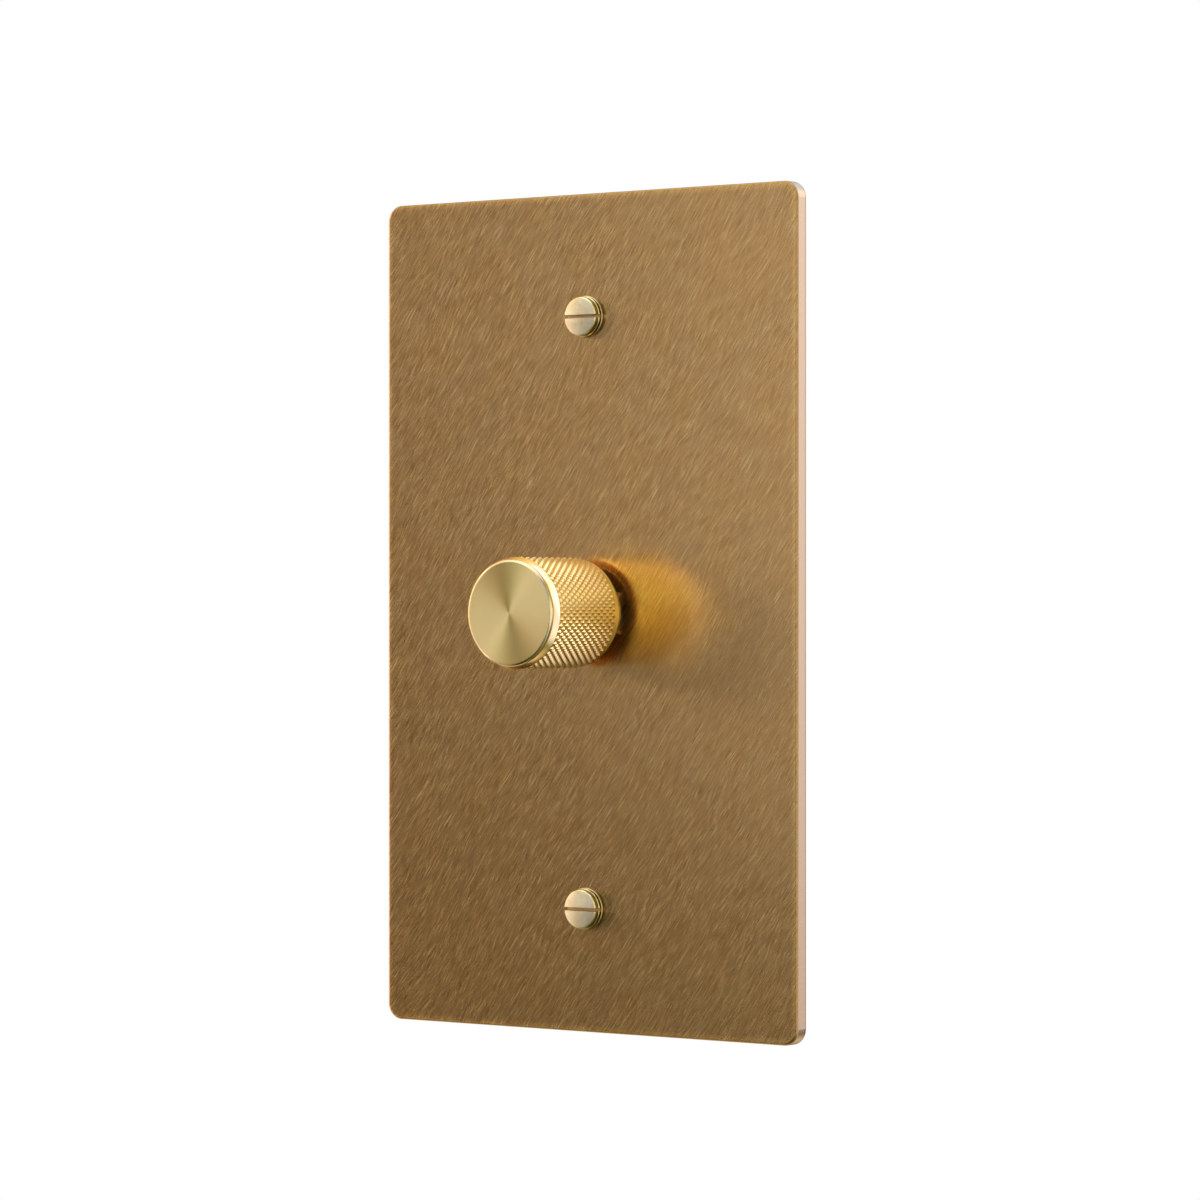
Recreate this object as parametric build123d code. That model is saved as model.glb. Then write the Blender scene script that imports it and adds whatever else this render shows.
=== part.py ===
from build123d import *
import os
from math import cos, sin, radians

# Rotary dimmer switch: a flat metal wall plate with a knurled turned knob in its
# middle, two slotted screws on its centre line, and the dimmer module behind it.
#
# Frame: the origin is the centre of the plate's rear face, which lies on the wall.
# +X is to the right for a person who faces the plate, +Z is up, +Y goes into the
# wall. The knob turns and pushes along Y. Millimetres.

# ---------------------------------------------------------------- driving sizes
plate_w = 72.0            # wall plate, across
plate_h = 118.0           # wall plate, up
plate_t = 2.1             # wall plate, thickness
plate_corner_r = 2.3      # rounding of the plate's four corners
plate_edge_r = 0.35       # rounding of the plate's front edges

screw_pitch = 83.3        # distance between the two fixing screws, up and down
screw_shank_r = 1.75
screw_neck_r = 1.4        # plain neck under the head, in the plate's thickness
screw_hole_r = 1.95
screw_head_r = 3.0
screw_head_h = 1.5
screw_head_top_r = 2.75   # the head's straight side
screw_head_bevel = 0.13
screw_foot = 0.45         # height of the flared foot at the head's lower edge
screw_slot_w = 0.5
screw_slot_d = 1.1
screw_reach = 20.0        # how far a screw stands out of the plate's rear face

knob_gap = 2.15           # plate front to the knob's rear rim
knob_front = 17.6         # plate front to the knob's flat face
knob_r = 7.8              # over the knurl
knob_root_r = 7.55        # the turned surface that the knurl's diamonds stand on
knob_disc_r = 7.37        # narrow plain disc behind the face's bevel
knob_collar_r = 7.77      # wide end of the smooth cone behind the disc
knob_face_r = 7.03        # flat face inside the bevel
knob_disc_len = 0.5       # flat face to the narrow end of the cone
knob_collar_len = 1.38    # flat face to the wide end of the cone
knurl_front = 1.75        # flat face to the first diamonds
knurl_rear = 1.0          # last diamonds to the rear rim
knob_rear_r = 0.35        # rounding of the rear rim
knob_cavity_r = 6.3       # hollow at the back, over the bush nut
knob_cavity_d = 5.75
knob_push_travel = 1.5
knob_turn_deg = 300.0

shaft_r = 3.0
running = 0.05            # radial running clearance
bush_r = 4.0
bush_front = -7.6
bush_flange_r = 8.5
nut_across_flats = 10.0
nut_h = 2.0
washer_t = 0.5

sink_t = 1.5              # aluminium front plate of the module
mod_w = 36.0              # module, across
mod_h = 52.0              # module, up
mod_back = 24.5           # module, rear face
mod_wall = 1.6
mod_corner_r = 3.0

pot_front = 2.6
pot_back = 7.7
pot_wall = 0.85
pot_r = 8.5
pot_in_r = 7.3
carrier_y0 = 2.8
carrier_y1 = 5.0
track_t = 0.7
stop_half_deg = 14.75

clip_y0 = 7.8
clip_y1 = 8.3
shaft_back = 8.8
plunger_front = 8.9
plunger_shoulder = 11.0
bridge_t = 0.4
contact_front = plunger_shoulder + bridge_t + knob_push_travel + 0.05
switch_floor = 14.8

board_front = 16.0
board_t = 1.4
board_back = board_front + board_t
board_w = 31.6
board_h = 47.6
post_x = 13.6
post_z = 21.6
post_r = 2.9
terminal_x = (-7.2, 0.0, 7.2)
terminal_z = -17.5
terminal_seat = 22.3
wire_y = 19.5
wire_r = 1.5

knob_y0 = -(plate_t + knob_front)      # flat face of the knob
knob_y1 = -(plate_t + knob_gap)        # rear rim of the knob


# -------------------------------------------------------------------- helpers
def ycyl(r, y0, y1, x=0.0, z=0.0):
    return Pos(x, (y0 + y1) / 2, z) * Rot(90, 0, 0) * Cylinder(r, abs(y1 - y0))


def xcyl(r, x0, x1, y=0.0, z=0.0):
    return Pos((x0 + x1) / 2, y, z) * Rot(0, 90, 0) * Cylinder(r, abs(x1 - x0))


def zcyl(r, z0, z1, x=0.0, y=0.0):
    return Pos(x, y, (z0 + z1) / 2) * Cylinder(r, abs(z1 - z0))


def ytube(ro, ri, y0, y1, x=0.0, z=0.0):
    return ycyl(ro, y0, y1, x, z) - ycyl(ri, y0 - 1, y1 + 1, x, z)


def blk(x0, x1, y0, y1, z0, z1):
    return Pos((x0 + x1) / 2, (y0 + y1) / 2, (z0 + z1) / 2) * Box(
        abs(x1 - x0), abs(y1 - y0), abs(z1 - z0))


def turned(points, x=0.0, z=0.0):
    """Solid of revolution about Y from (radius, y) points."""
    face = make_face(Polyline(*points, close=True))
    return Pos(x, 0, z) * revolve(face, Axis.Y, 360)


def prism(outline, y0, y1):
    """A flat outline in X and Z, from y0 to y1."""
    return extrude(Plane.XZ.offset(-y1) * outline, amount=y1 - y0)


def wedge(r0, r1, mid_deg, half_deg, y0, y1):
    """Ring sector. Angles go clockwise from +Z, seen from the front."""
    big = r1 * 1.6
    pts = [(0, 0)]
    for a in (mid_deg - half_deg, mid_deg, mid_deg + half_deg):
        pts.append((big * sin(radians(a)), big * cos(radians(a))))
    cut = prism(make_face(Polyline(*pts, close=True)), y0, y1)
    return ytube(r1, r0, y0, y1) & cut


def hexagon(across_flats, y0, y1, x=0.0, z=0.0, turn=0.0):
    return Pos(x, 0, z) * prism(
        Rot(0, 0, turn) * RegularPolygon(across_flats / 2, 6, major_radius=False), y0, y1)


# ------------------------------------------------------------------ wall plate
wall_plate = prism(RectangleRounded(plate_w, plate_h, plate_corner_r), -plate_t, 0)
wall_plate = fillet(wall_plate.faces().sort_by(Axis.Y)[0].edges(), plate_edge_r)
wall_plate -= ycyl(bush_r + 0.2, -plate_t - 1, 1)
for s in (1, -1):
    wall_plate -= ycyl(screw_hole_r, -plate_t - 1, 1, 0, s * screw_pitch / 2)


# ---------------------------------------------------------------- plate screws
def plate_screw(z):
    y_top = -plate_t - screw_head_h
    b = screw_head_bevel
    s = turned([(0, y_top), (screw_head_top_r - b, y_top), (screw_head_top_r, y_top + b),
                (screw_head_top_r, -plate_t - screw_foot), (screw_head_r, -plate_t - 0.2),
                (screw_head_r, -plate_t - 0.1), (screw_head_r - 0.1, -plate_t), (screw_neck_r, -plate_t),
                (screw_neck_r, screw_neck_r - screw_shank_r), (screw_shank_r, 0),
                (screw_shank_r, screw_reach - 0.6), (screw_shank_r - 0.6, screw_reach),
                (0, screw_reach)], 0, z)
    return s - blk(-4, 4, y_top - 1, y_top + screw_slot_d,
                   z - screw_slot_w / 2, z + screw_slot_w / 2)


plate_screws = Compound(children=[plate_screw(s * screw_pitch / 2) for s in (1, -1)])

# ------------------------------------------------------------------------ knob
# One turned piece: flat face, narrow bevel, thin disc, smooth cone that widens to the knurl,
# the envelope of the knurl's diamonds, a plain rear band, and a hollow back.
collar_y1 = knob_y0 + knob_collar_len
knurl_y0 = knob_y0 + knurl_front
knurl_y1 = knob_y1 - knurl_rear
bore_bottom = -17.6
knob = turned([
    (0, knob_y0), (knob_face_r, knob_y0), (knob_disc_r - 0.07, knob_y0 + 0.14), (knob_disc_r, knob_y0 + 0.22),
    (knob_disc_r, knob_y0 + knob_disc_len), (knob_collar_r, collar_y1),
    (knob_root_r, collar_y1 + 0.06), (knob_root_r, knurl_y0 - 0.06),
    (knob_r, knurl_y0), (knob_r, knurl_y1), (knob_root_r, knurl_y1 + 0.06),
    (knob_root_r, knob_y1 - knob_rear_r), (knob_root_r - 0.29 * knob_rear_r, knob_y1 - 0.29 * knob_rear_r),
    (knob_root_r - knob_rear_r, knob_y1),
    (knob_cavity_r + 0.15, knob_y1), (knob_cavity_r, knob_y1 - 0.15),
    (knob_cavity_r, knob_y1 - knob_cavity_d),
    (shaft_r + 0.32, knob_y1 - knob_cavity_d), (shaft_r + 0.02, knob_y1 - knob_cavity_d - 0.3),
    (shaft_r + 0.02, bore_bottom), (0, bore_bottom)])
set_screw_y = -14.0
knob -= xcyl(1.5, -9, -1.0, set_screw_y)

knob_set_screw = xcyl(1.48, -6.9, -2.52, set_screw_y)
knob_set_screw -= Pos(-6.9, set_screw_y, 0) * Rot(0, 90, 0) * extrude(
    RegularPolygon(0.75, 6, major_radius=False), amount=1.6)

# ------------------------------------------------------------- shaft and bush
# The shaft is flat on one side where the set screw bears, and flat on top where it
# slides through the wiper carrier.
pot_shaft = turned([
    (0, -17.5), (shaft_r - 0.4, -17.5), (shaft_r, -17.1), (shaft_r, clip_y0 - 0.02),
    (2.5, clip_y0 - 0.02), (2.5, clip_y1 + 0.02), (shaft_r, clip_y1 + 0.02),
    (shaft_r, shaft_back - 0.2), (shaft_r - 0.2, shaft_back), (0, shaft_back)])
pot_shaft -= blk(-4, -2.5, -18, -11.2, -4, 4)
pot_shaft -= blk(-4, 4, carrier_y0 - knob_push_travel - 0.3, 12, 2.0, 4)

shaft_clip = ytube(4.4, 2.5, clip_y0, clip_y1)
shaft_clip -= prism(make_face(Polyline((0, 0), (-3.6, -6), (3.6, -6), close=True)),
                    clip_y0 - 1, clip_y1 + 1)

pot_bush = turned([
    (shaft_r + running, bush_front + 0.3), (shaft_r + 0.3, bush_front), (bush_r - 0.45, bush_front),
    (bush_r, bush_front + 0.45), (bush_r, sink_t), (bush_flange_r, sink_t),
    (bush_flange_r, pot_front), (shaft_r + running, pot_front)])

washer_y = -plate_t - washer_t
bush_washer = ytube(5.7, bush_r + 0.1, washer_y, -plate_t)
for k in range(10):
    a = radians(36 * k)
    bush_washer -= Pos(4.4 * sin(a), 0, 4.4 * cos(a)) * Rot(0, 36 * k, 0) * blk(
        -0.45, 0.45, washer_y - 1, -plate_t + 1, -0.6, 0.6)

bush_nut = hexagon(nut_across_flats, washer_y - nut_h, washer_y, turn=30)
bush_nut = bush_nut & turned([
    (0, washer_y - nut_h), (5.1, washer_y - nut_h), (5.9, washer_y - nut_h + 0.4),
    (5.9, washer_y), (0, washer_y)])
bush_nut -= ycyl(bush_r + 0.02, washer_y - nut_h - 1, washer_y + 1)

# -------------------------------------------------------- potentiometer pieces
track_y1 = pot_back - pot_wall
track_y0 = track_y1 - track_t
pot_case = turned([
    (pot_in_r, pot_front), (pot_r, pot_front), (pot_r, pot_back - 0.3), (pot_r - 0.3, pot_back),
    (3.3, pot_back), (3.3, track_y1), (pot_in_r, track_y1)])
pot_case += wedge(6.35, pot_in_r + 0.4, 180, stop_half_deg, pot_front, carrier_y1 + 0.2)
pot_case -= blk(-4.65, 4.65, track_y0 - 0.1, track_y1, -12, -6)

resistor_track = ytube(7.2, 4.0, track_y0, track_y1)
resistor_track += blk(-4.6, 4.6, track_y0, track_y1, -10.6, -6.2)

pot_pins = Compound(children=[
    blk(x - 0.4, x + 0.4, track_y1, board_back + 0.8, -9.9, -9.5) for x in (-3.0, 0.0, 3.0)])

wiper_carrier = ycyl(6.2, carrier_y0, carrier_y1)
wiper_carrier += wedge(5.8, pot_in_r - running, 210, stop_half_deg, carrier_y0, carrier_y1)
d_bore = ycyl(shaft_r + running, carrier_y0 - 1, carrier_y1 + 1)
d_bore -= blk(-4, 4, carrier_y0 - 2, carrier_y1 + 2, 2.0 + running, 4)
wiper_carrier -= d_bore

wiper_contact = ytube(6.0, 4.2, carrier_y1, carrier_y1 + 0.25)
wiper_contact += wedge(4.7, 6.0, 30, 9, carrier_y1 + 0.25, track_y0 - 0.05)

# ---------------------------------------------------------------- push switch
switch_body = blk(-8, 8, pot_back, board_front, -8, 8)
switch_body = fillet(switch_body.edges().filter_by(Axis.Y), 1.0)
switch_body -= blk(-6.8, 6.8, pot_back - 1, switch_floor, -5.5, 5.5)
switch_body -= ycyl(1.6 + running, switch_floor - 1, board_front + 1)
for s in (1, -1):
    switch_body -= blk(s * 5.55, s * 6.35, switch_floor - 1, board_front + 1, -1.05, 1.05)

switch_plunger = turned([
    (0, plunger_front), (4.2, plunger_front), (4.5, plunger_front + 0.3),
    (4.5, plunger_shoulder), (1.6, plunger_shoulder), (1.6, board_back - 0.3),
    (1.4, board_back - 0.1), (0, board_back - 0.1)])

moving_contact = ytube(4.2, 2.7, plunger_shoulder, plunger_shoulder + bridge_t)
moving_contact += blk(-6.2, 6.2, plunger_shoulder, plunger_shoulder + bridge_t, -1.6, 1.6) \
    - ycyl(2.7, plunger_shoulder - 1, plunger_shoulder + 2)


def fixed_contact(s):
    c = blk(s * 3.4, s * 6.3, contact_front, contact_front + 0.5, -1.5, 1.5)
    return c + blk(s * 5.6, s * 6.3, contact_front + 0.5, board_back + 0.8, -1.0, 1.0)


fixed_contacts = Compound(children=[fixed_contact(1), fixed_contact(-1)])

# Return spring: round wire coiled about the plunger's stem.
spring_wire_r = 0.25
spring_r = 2.12
spring_len = switch_floor - plunger_shoulder - 2 * spring_wire_r - 0.04
spring_turns = 4.25
spring_line = Helix(spring_len / spring_turns, spring_len, spring_r)
spring_start = Plane(origin=spring_line @ 0, z_dir=spring_line % 0)
return_spring = sweep(spring_start * Circle(spring_wire_r), path=spring_line, is_frenet=True)
return_spring = Pos(0, plunger_shoulder + spring_wire_r + 0.02, 0) * Rot(-90, 0, 0) * return_spring

# ------------------------------------------------------------ module enclosure
# A flat aluminium plate closes the front of a plastic shell and cools the triac.
triac_hole_z = 12.0
corners = [(sx * post_x, sz * post_z) for sx in (1, -1) for sz in (1, -1)]
heat_sink = prism(RectangleRounded(mod_w, mod_h, mod_corner_r), 0, sink_t)
heat_sink -= ycyl(bush_r + 0.2, -1, 3)
heat_sink -= ycyl(1.5, -1, 3, 0, triac_hole_z)
for x, z in corners:
    heat_sink -= turned([(0, -0.05), (2.75, -0.05), (1.45, 1.25), (1.45, 2), (0, 2)], x, z)


def housing_screw(x, z):
    s = turned([(0, 0.04), (2.6, 0.04), (1.4, 1.24), (1.4, 9.5), (0.4, 11.0), (0, 11.0)], x, z)
    return s - blk(x - 1.9, x + 1.9, -1, 0.75, z - 0.3, z + 0.3) \
        - blk(x - 0.3, x + 0.3, -1, 0.75, z - 1.9, z + 1.9)


housing_screws = Compound(children=[housing_screw(x, z) for x, z in corners])

housing = prism(RectangleRounded(mod_w, mod_h, mod_corner_r), sink_t, mod_back)
housing = fillet(housing.faces().sort_by(Axis.Y)[-1].edges(), 1.0)
housing -= prism(RectangleRounded(mod_w - 2 * mod_wall, mod_h - 2 * mod_wall, mod_corner_r - mod_wall),
                 sink_t - 1, mod_back - mod_wall)
shell_inside = prism(RectangleRounded(mod_w - 1.0, mod_h - 1.0, 2.5), sink_t, mod_back - 1.0)
for x, z in corners:
    post = ycyl(post_r, sink_t, mod_back - 1.0, x, z)
    post += blk(x, x + (4 if x > 0 else -4), sink_t, mod_back - 1.0, z - 1.2, z + 1.2)
    post += blk(x - 1.2, x + 1.2, sink_t, mod_back - 1.0, z, z + (4 if z > 0 else -4))
    housing += post & shell_inside
for x, z in corners:
    housing -= ycyl(1.4, 0, 12, x, z)
housing += blk(-9, 9, board_back, mod_back - 1.0, 17.0, 18.4)
housing += blk(-9, 9, board_back, mod_back - 1.0, -12.4, -11.0)
for x in terminal_x:
    housing -= ycyl(2.6, mod_back - 3, mod_back + 1, x, terminal_z)
    housing -= zcyl(1.9, -mod_h / 2 - 1, -mod_h / 2 + 2.2, x, wire_y)
for k in range(5):
    x = (k - 2) * 4.0
    housing -= blk(x - 0.9, x + 0.9, 6.0, 14.0, mod_h / 2 - 3, mod_h / 2 + 1)

# --------------------------------------------------------------- circuit board
circuit_board = blk(-board_w / 2, board_w / 2, board_front, board_back, -board_h / 2, board_h / 2)
for sx in (1, -1):
    for sz in (1, -1):
        circuit_board -= blk(sx * 10.4, sx * 20, board_front - 1, board_back + 1, sz * 18.4, sz * 30)
circuit_board -= ycyl(1.9, board_front - 1, board_back + 1)
for s in (1, -1):
    circuit_board -= blk(s * 5.55, s * 6.35, board_front - 1, board_back + 1, -1.05, 1.05)
for x in (-3.0, 0.0, 3.0):
    circuit_board -= ycyl(0.6, board_front - 1, board_back + 1, x, -9.7)
triac_leg_z = 22.9
for x in (-2.54, 0.0, 2.54):
    circuit_board -= ycyl(0.65, board_front - 1, board_back + 1, x, triac_leg_z)

# The triac lies flat on the heat sink, on its pad, with its legs bent back to the board.
pad_t = 0.2
triac_y0 = sink_t + pad_t
triac = blk(-5, 5, triac_y0, triac_y0 + 1.3, 9.2, 16.0)
triac -= ycyl(1.65, 0, 5, 0, triac_hole_z)
triac += blk(-5, 5, triac_y0, triac_y0 + 4.4, 15.5, 22.2)
for x in (-2.54, 0.0, 2.54):
    triac += blk(x - 0.4, x + 0.4, triac_y0 + 2.2, triac_y0 + 2.8, 22.1, triac_leg_z + 0.3)
    triac += blk(x - 0.4, x + 0.4, triac_y0 + 2.2, board_back + 0.8, triac_leg_z - 0.3, triac_leg_z + 0.3)
triac_pad = blk(-6, 6, sink_t, sink_t + pad_t, 8.8, 22.2) - ycyl(1.75, 0, 5, 0, triac_hole_z)
triac_screw = ycyl(1.48, 0.2, triac_y0 + 1.4, 0, triac_hole_z)
triac_screw += ycyl(2.6, triac_y0 + 1.3, triac_y0 + 3.0, 0, triac_hole_z)
triac_screw -= blk(-1.9, 1.9, triac_y0 + 2.1, triac_y0 + 4, triac_hole_z - 0.35, triac_hole_z + 0.35)
triac_screw -= blk(-0.35, 0.35, triac_y0 + 2.1, triac_y0 + 4, triac_hole_z - 1.9, triac_hole_z + 1.9)

choke_x, choke_z = 5.9, -15.9
choke_core = ytube(5.4, 3.2, 9.9, 15.1, choke_x, choke_z)
choke_core = fillet(choke_core.edges(), 0.4)
choke_cut = Pos(choke_x, 0, choke_z) * prism(
    make_face(Polyline((0, 0), (-9, 4.6), (-9, 12), (-4.0, 12), close=True)), 8, 22)
choke_winding = ytube(6.2, 2.5, 9.2, 15.8, choke_x, choke_z)
choke_winding = fillet(choke_winding.edges(), 0.6)
choke_winding -= ytube(5.4, 3.2, 9.9, 15.1, choke_x, choke_z)
choke_winding -= choke_cut

filter_capacitor = fillet(
    blk(-10.2, -1.2, 7.0, board_front, -23.4, -16.8).edges().filter_by(Axis.Y), 0.6)
smoothing_capacitor = turned([
    (0, 5.0), (3.1, 5.0), (3.5, 5.4), (3.5, 14.4), (3.25, 14.7), (3.5, 15.0), (3.5, board_front),
    (0, board_front)], -12.2, 11.2)
fuse = turned([(0, 9.0), (3.2, 9.0), (3.6, 9.4), (3.6, board_front), (0, board_front)], 12.2, 11.2)
control_chip = blk(10.5, 14.5, board_front - 1.5, board_front - 0.1, -2.5, 2.5)
for k in range(4):
    z = (k - 1.5) * 1.27
    control_chip += blk(9.4, 15.6, board_front - 0.35, board_front, z - 0.2, z + 0.2)
board_resistors = Compound(children=[
    blk(-13.6, -10.4, board_front - 0.6, board_front, z - 0.8, z + 0.8) for z in (-4.0, -1.0, 2.0)])


# ------------------------------------------------------------------- terminals
def terminal_block(x):
    b = blk(x - 3.0, x + 3.0, board_back, terminal_seat, -23.2, -13.4)
    b -= zcyl(wire_r, -25, -12, x, wire_y)
    return b - ycyl(1.52, wire_y, mod_back, x, terminal_z)


def terminal_screw(x):
    y_top = mod_back - 0.6
    s = ycyl(1.5, wire_y + 0.9, terminal_seat + 0.1, x, terminal_z)
    s += ycyl(2.4, terminal_seat, y_top, x, terminal_z)
    return s - blk(x - 3, x + 3, y_top - 0.8, y_top + 1, terminal_z - 0.4, terminal_z + 0.4)


terminal_blocks = Compound(children=[terminal_block(x) for x in terminal_x])
terminal_screws = Compound(children=[terminal_screw(x) for x in terminal_x])

earth_x, earth_z = 13.0, -33.0
earth_stud = turned([
    (0, 0), (3.4, 0), (3.4, 0.9), (2.0, 0.9), (2.0, 8.6), (1.6, 9.0), (0, 9.0)], earth_x, earth_z)
earth_washer = ytube(4.4, 2.05, 0.9, 1.7, earth_x, earth_z)
earth_nut = hexagon(7.0, 1.7, 4.9, earth_x, earth_z) - ycyl(2.02, 1, 6, earth_x, earth_z)

# --------------------------------------------------------------------- export
nodes = {
    "wall_plate": wall_plate,
    "plate_screws": plate_screws,
    "knob": knob,
    "knob_set_screw": knob_set_screw,
    "pot_shaft": pot_shaft,
    "shaft_clip": shaft_clip,
    "pot_bush": pot_bush,
    "bush_washer": bush_washer,
    "bush_nut": bush_nut,
    "pot_case": pot_case,
    "resistor_track": resistor_track,
    "pot_pins": pot_pins,
    "wiper_carrier": wiper_carrier,
    "wiper_contact": wiper_contact,
    "switch_body": switch_body,
    "switch_plunger": switch_plunger,
    "moving_contact": moving_contact,
    "fixed_contacts": fixed_contacts,
    "return_spring": return_spring,
    "heat_sink": heat_sink,
    "housing": housing,
    "housing_screws": housing_screws,
    "circuit_board": circuit_board,
    "triac": triac,
    "triac_pad": triac_pad,
    "triac_screw": triac_screw,
    "choke_core": choke_core,
    "choke_winding": choke_winding,
    "filter_capacitor": filter_capacitor,
    "smoothing_capacitor": smoothing_capacitor,
    "fuse": fuse,
    "control_chip": control_chip,
    "board_resistors": board_resistors,
    "terminal_blocks": terminal_blocks,
    "terminal_screws": terminal_screws,
    "earth_stud": earth_stud,
    "earth_washer": earth_washer,
    "earth_nut": earth_nut,
}
for name, shape in nodes.items():
    export_step(shape, f"parts/{name}.step")
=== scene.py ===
import math

import bmesh
import bpy
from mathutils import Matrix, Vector


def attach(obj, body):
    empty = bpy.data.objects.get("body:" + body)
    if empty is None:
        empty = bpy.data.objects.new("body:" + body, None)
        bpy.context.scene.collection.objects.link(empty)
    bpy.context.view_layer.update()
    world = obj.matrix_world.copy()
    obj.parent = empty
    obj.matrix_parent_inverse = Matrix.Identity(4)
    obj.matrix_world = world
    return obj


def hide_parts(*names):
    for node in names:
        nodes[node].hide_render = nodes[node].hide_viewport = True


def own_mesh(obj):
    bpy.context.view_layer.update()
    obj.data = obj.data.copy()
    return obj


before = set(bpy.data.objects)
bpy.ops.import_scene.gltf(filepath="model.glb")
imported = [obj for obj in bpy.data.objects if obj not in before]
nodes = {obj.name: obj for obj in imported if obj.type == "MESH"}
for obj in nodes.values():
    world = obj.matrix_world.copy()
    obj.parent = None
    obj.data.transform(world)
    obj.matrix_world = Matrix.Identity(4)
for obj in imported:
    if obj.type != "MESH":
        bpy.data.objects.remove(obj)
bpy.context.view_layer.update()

MM = 0.001
TAU = 2 * math.pi

scene = bpy.context.scene
scene.view_settings.view_transform = "Standard"
scene.view_settings.look = "None"
scene.view_settings.exposure = 0.0
scene.view_settings.gamma = 1.0


# ----------------------------------------------------------------- node helpers
class Graph:
    """A material's node tree, with short calls for the nodes used here."""

    def __init__(self, name):
        self.mat = bpy.data.materials.new(name)
        self.mat.use_nodes = True
        self.tree = self.mat.node_tree
        self.tree.nodes.clear()
        self.out = self.tree.nodes.new("ShaderNodeOutputMaterial")
        self.bsdf = self.tree.nodes.new("ShaderNodeBsdfPrincipled")
        self.link(self.bsdf.outputs[0], self.out.inputs[0])

    def link(self, a, b):
        self.tree.links.new(a, b)

    def put(self, socket, value):
        if isinstance(value, bpy.types.NodeSocket):
            self.link(value, socket)
        elif isinstance(value, (tuple, list)) and len(value) == 3 and socket.type == "RGBA":
            socket.default_value = (*value, 1.0)
        else:
            socket.default_value = value

    def set(self, **values):
        names = {"color": "Base Color", "metal": "Metallic", "rough": "Roughness", "normal": "Normal",
                 "coat": "Coat Weight", "coat_rough": "Coat Roughness", "aniso": "Anisotropic",
                 "tangent": "Tangent", "spec": "Specular IOR Level", "ior": "IOR",
                 "aniso_rot": "Anisotropic Rotation", "coat_normal": "Coat Normal", "tint": "Specular Tint"}
        for k, v in values.items():
            self.put(self.bsdf.inputs[names[k]], v)

    def node(self, kind, **props):
        n = self.tree.nodes.new(kind)
        for k, v in props.items():
            setattr(n, k, v)
        return n

    def math(self, op, a, b=0.0, c=None, clamp=False):
        n = self.node("ShaderNodeMath", operation=op, use_clamp=clamp)
        self.put(n.inputs[0], a)
        self.put(n.inputs[1], b)
        if c is not None:
            self.put(n.inputs[2], c)
        return n.outputs[0]

    def vmath(self, op, a, b=(0, 0, 0)):
        n = self.node("ShaderNodeVectorMath", operation=op)
        self.put(n.inputs[0], a)
        self.put(n.inputs[1], b)
        return n.outputs["Value"] if op in ("DOT_PRODUCT", "LENGTH", "DISTANCE") else n.outputs[0]

    def scaled(self, v, k):
        n = self.node("ShaderNodeVectorMath", operation="SCALE")
        self.put(n.inputs[0], v)
        self.put(n.inputs["Scale"], k)
        return n.outputs[0]

    def mm(self):
        """Object coordinates, in millimetres."""
        n = self.node("ShaderNodeTexCoord")
        return self.scaled(n.outputs["Object"], 1000.0)

    def split(self, v):
        n = self.node("ShaderNodeSeparateXYZ")
        self.put(n.inputs[0], v)
        return n.outputs[0], n.outputs[1], n.outputs[2]

    def join(self, x=0.0, y=0.0, z=0.0):
        n = self.node("ShaderNodeCombineXYZ")
        for s, v in zip(n.inputs, (x, y, z)):
            self.put(s, v)
        return n.outputs[0]

    def noise(self, v, scale=1.0, detail=2.0, rough=0.5, distort=0.0, out="Fac"):
        n = self.node("ShaderNodeTexNoise", noise_dimensions="3D")
        self.put(n.inputs["Vector"], v)
        n.inputs["Scale"].default_value = scale
        n.inputs["Detail"].default_value = detail
        n.inputs["Roughness"].default_value = rough
        n.inputs["Distortion"].default_value = distort
        return n.outputs["Color"] if out == "Color" else n.outputs[0]

    def ramp(self, v, lo, hi, a=0.0, b=1.0, smooth=True):
        n = self.node("ShaderNodeMapRange", clamp=True)
        n.interpolation_type = "SMOOTHSTEP" if smooth else "LINEAR"
        self.put(n.inputs["Value"], v)
        for name, value in (("From Min", lo), ("From Max", hi), ("To Min", a), ("To Max", b)):
            self.put(n.inputs[name], value)
        return n.outputs[0]

    def mix(self, fac, a, b):
        n = self.node("ShaderNodeMix", data_type="RGBA", clamp_factor=True)
        self.put(n.inputs[0], fac)
        self.put(n.inputs[6], a)
        self.put(n.inputs[7], b)
        return n.outputs[2]

    def tinted(self, color, gains):
        """A colour times a vector of gains."""
        n = self.node("ShaderNodeMix", data_type="RGBA", blend_type="MULTIPLY", clamp_result=False)
        n.inputs[0].default_value = 1.0
        self.put(n.inputs[6], color)
        self.put(n.inputs[7], gains)
        return n.outputs[2]

    def tone(self, color, gain):
        """A colour times a number."""
        return self.tinted(color, self.join(gain, gain, gain))

    def bump(self, height, strength=1.0, distance=0.00001, normal=None):
        n = self.node("ShaderNodeBump")
        n.inputs["Strength"].default_value = strength
        n.inputs["Distance"].default_value = distance
        self.put(n.inputs["Height"], height)
        if normal is not None:
            self.put(n.inputs["Normal"], normal)
        return n.outputs[0]


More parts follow.
